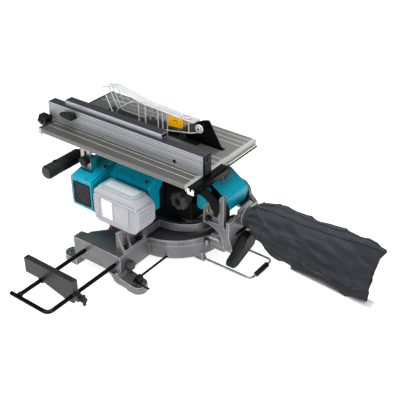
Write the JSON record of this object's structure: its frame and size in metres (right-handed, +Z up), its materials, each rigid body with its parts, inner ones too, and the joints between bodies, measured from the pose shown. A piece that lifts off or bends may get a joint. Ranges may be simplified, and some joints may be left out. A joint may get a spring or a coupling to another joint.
{
  "type": "table-top mitre saw",
  "caption": "Battery table-top mitre saw: a turntable base with a tilting arm carries a pivoting head whose blade also rises through an upper saw table with a rip fence; dust bag at the rear.",
  "frame": {"origin": "middle of the bounding box in plan, on the floor under the feet", "axes": "+X to the operator's right, +Y the feed direction from the operator to the rear, +Z up"},
  "size_m": [0.705, 0.868, 0.377],
  "materials": {
    "casting": "silver-grey paint on die-cast aluminium, satin",
    "dark_cast": "black powder coat on die-cast aluminium",
    "black_plastic": "fine-grained",
    "teal_plastic": "satin, fine-grained",
    "pale_grey_plastic": "satin",
    "aluminium": "machined surface with lengthwise lines",
    "fence_aluminium": "brushed and anodised",
    "steel": "ground",
    "zinc_steel": "zinc plated",
    "chrome": "bright",
    "clear_plastic": "clear polycarbonate",
    "bag_fabric": "woven, slightly wrinkled",
    "white_strip": "smooth",
    "rubber": "soft, matt",
    "black_rod": "black coating, satin",
    "winding": "copper winding in a laminated core"
  },
  "bodies": {
    "base": {"base_casting": "casting", "guide_fence": "casting", "turntable_bolt": "steel", "hex_wrench": "black_rod", "rear_wire": "chrome", "rear_wire_grip": "rubber"},
    "holder_lock": {"holder_lock_knob": "black_plastic"},
    "side_holder": {"holder_wire": "black_rod"},
    "stop": {"stop_plate": "black_rod"},
    "stop_screw": {"stop_wing_screw": "black_plastic"},
    "turntable": {"turntable": "casting", "kerf_board_right": "black_plastic", "kerf_board_left": "black_plastic", "mitre_lever_bracket": "dark_cast"},
    "mitre_grip": {"mitre_grip": "black_plastic"},
    "mitre_lever": {"mitre_lever": "black_plastic"},
    "bevel_arm": {"bevel_arm": "casting", "pivot_pin": "steel", "pivot_spring": "zinc_steel", "dust_nozzle": "casting", "dust_bag": "bag_fabric", "bag_closure_strip": "white_strip"},
    "stop_pin": {"stop_pin": "black_plastic"},
    "bevel_lever": {"bevel_lever": "black_plastic"},
    "head": {"head_casting": "dark_cast", "pivot_cover": "teal_plastic", "motor_housing": "teal_plastic", "vent_grille": "black_plastic", "handle_bar": "rubber", "motor_stator": "winding", "drive_belt": "rubber", "riving_knife": "black_rod", "guard_pin": "steel"},
    "trigger": {"trigger": "black_plastic"},
    "lock_off": {"lock_off_button": "black_plastic"},
    "battery": {"battery_pack": "pale_grey_plastic"},
    "battery_release": {"battery_button": "black_plastic"},
    "star_knob": {"star_knob": "black_plastic"},
    "blade_shaft": {"blade": "steel", "arbor": "steel", "outer_flange": "steel"},
    "rotor": {"motor_rotor": "steel"},
    "lower_guard": {"lower_guard": "clear_plastic"},
    "blade_guard": {"blade_guard": "clear_plastic"},
    "saw_table": {"saw_table": "aluminium", "table_insert": "dark_cast", "rear_rail": "fence_aluminium", "front_rail": "fence_aluminium", "height_bracket": "zinc_steel", "rear_bracket": "zinc_steel"},
    "height_knob_front": {"height_knob_front": "black_plastic"},
    "height_knob_rear": {"height_knob_rear": "black_plastic"},
    "fence": {"rip_fence": "fence_aluminium", "fence_carrier": "black_plastic", "fence_front_block": "black_plastic"},
    "fence_lock": {"fence_lock_knob": "black_plastic"},
    "sub_fence": {"sub_fence": "fence_aluminium"},
    "sub_fence_lever": {"sub_fence_lever": "black_plastic"}
  },
  "joints": [
    {"name": "mitre_turn", "type": "hinge", "parent": "base", "child": "turntable", "pos_m": [-0.1055, -0.128, 0.07], "axis": [0, 0, 1], "range_deg": [-45, 45]},
    {"name": "holder_lock_turn", "type": "hinge", "parent": "base", "child": "holder_lock", "pos_m": [0.1045, -0.101, 0.044], "axis": [0, 1, 0], "range_deg": [-180, 180]},
    {"name": "holder_slide", "type": "slide", "parent": "base", "child": "side_holder", "axis": [1, 0, 0], "range_m": [-0.06, 0.03]},
    {"name": "stop_slide", "type": "slide", "parent": "side_holder", "child": "stop", "axis": [1, 0, 0], "range_m": [-0.06, 0.055]},
    {"name": "stop_screw_turn", "type": "hinge", "parent": "stop", "child": "stop_screw", "pos_m": [0.26925, -0.096, 0.052], "axis": [0, 1, 0], "range_deg": [-180, 180]},
    {"name": "mitre_grip_turn", "type": "hinge", "parent": "turntable", "child": "mitre_grip", "pos_m": [-0.1055, -0.388, 0.058], "axis": [0, 1, 0], "range_deg": [-180, 180]},
    {"name": "mitre_lever_press", "type": "hinge", "parent": "turntable", "child": "mitre_lever", "pos_m": [-0.1055, -0.341, 0.0835], "axis": [1, 0, 0], "range_deg": [0, 4], "stiffness_Nm_per_rad": 0.8},
    {"name": "bevel_tilt", "type": "hinge", "parent": "turntable", "child": "bevel_arm", "pos_m": [-0.1055, 0.057, 0.078], "axis": [0, -1, 0], "range_deg": [0, 45]},
    {"name": "stop_pin_pull", "type": "slide", "parent": "bevel_arm", "child": "stop_pin", "axis": [1, 0, 0], "range_m": [0, 0.008]},
    {"name": "bevel_lever_turn", "type": "hinge", "parent": "bevel_arm", "child": "bevel_lever", "pos_m": [-0.1055, 0.087, 0.078], "axis": [0, -1, 0], "range_deg": [0, 45]},
    {"name": "head_chop", "type": "hinge", "parent": "bevel_arm", "child": "head", "pos_m": [-0.1055, 0.025, 0.168], "axis": [-1, 0, 0], "range_deg": [0, 38]},
    {"name": "trigger_press", "type": "slide", "parent": "head", "child": "trigger", "axis": [0, -1, 0], "range_m": [0, 0.005], "stiffness_N_per_m": 600},
    {"name": "lock_off_press", "type": "slide", "parent": "head", "child": "lock_off", "axis": [0, 0, -1], "range_m": [0, 0.004], "stiffness_N_per_m": 400},
    {"name": "battery_slide", "type": "slide", "parent": "head", "child": "battery", "axis": [0, 1, 0], "range_m": [0, 0.14]},
    {"name": "battery_release_press", "type": "slide", "parent": "battery", "child": "battery_release", "axis": [0, 1, 0], "range_m": [0, 0.003], "stiffness_N_per_m": 500},
    {"name": "star_knob_turn", "type": "hinge", "parent": "head", "child": "star_knob", "pos_m": [-0.0255, -0.045, 0.186], "axis": [1, 0, 0], "range_deg": [-180, 180]},
    {"name": "blade_spin", "type": "hinge", "parent": "head", "child": "blade_shaft", "pos_m": [-0.1055, -0.171, 0.194], "axis": [1, 0, 0], "continuous": true},
    {"name": "motor_spin", "type": "hinge", "parent": "head", "child": "rotor", "pos_m": [-0.0055, -0.252, 0.18], "axis": [1, 0, 0], "continuous": true},
    {"name": "lower_guard_swing", "type": "hinge", "parent": "head", "child": "lower_guard", "pos_m": [-0.1055, -0.171, 0.194], "axis": [1, 0, 0], "range_deg": [0, 83]},
    {"name": "blade_guard_lift", "type": "hinge", "parent": "head", "child": "blade_guard", "pos_m": [-0.1055, -0.043, 0.342], "axis": [-1, 0, 0], "range_deg": [0, 30]},
    {"name": "table_height", "type": "slide", "parent": "head", "child": "saw_table", "axis": [0, 0, 1], "range_m": [-0.014, 0]},
    {"name": "height_knob_front_turn", "type": "hinge", "parent": "head", "child": "height_knob_front", "pos_m": [0.0695, -0.262, 0.256], "axis": [1, 0, 0], "range_deg": [-180, 180]},
    {"name": "height_knob_rear_turn", "type": "hinge", "parent": "head", "child": "height_knob_rear", "pos_m": [-0.0865, 0.04, 0.261], "axis": [0, 1, 0], "range_deg": [-180, 180]},
    {"name": "fence_slide", "type": "slide", "parent": "saw_table", "child": "fence", "axis": [1, 0, 0], "range_m": [-0.06, 0.02]},
    {"name": "fence_lock_turn", "type": "hinge", "parent": "fence", "child": "fence_lock", "pos_m": [0.0345, -0.426, 0.303], "axis": [0, 1, 0], "range_deg": [-180, 180]},
    {"name": "sub_fence_slide", "type": "slide", "parent": "fence", "child": "sub_fence", "axis": [0, 1, 0], "range_m": [-0.045, 0.115]},
    {"name": "sub_fence_lever_turn", "type": "hinge", "parent": "fence", "child": "sub_fence_lever", "pos_m": [0.0295, -0.333, 0.334], "axis": [-1, 0, 0], "range_deg": [0, 90]}
  ],
  "couplings": [
    {"joint": "motor_spin", "follows": "blade_spin", "ratio": 2},
    {"joint": "lower_guard_swing", "follows": "head_chop", "ratio": 2.18}
  ]
}
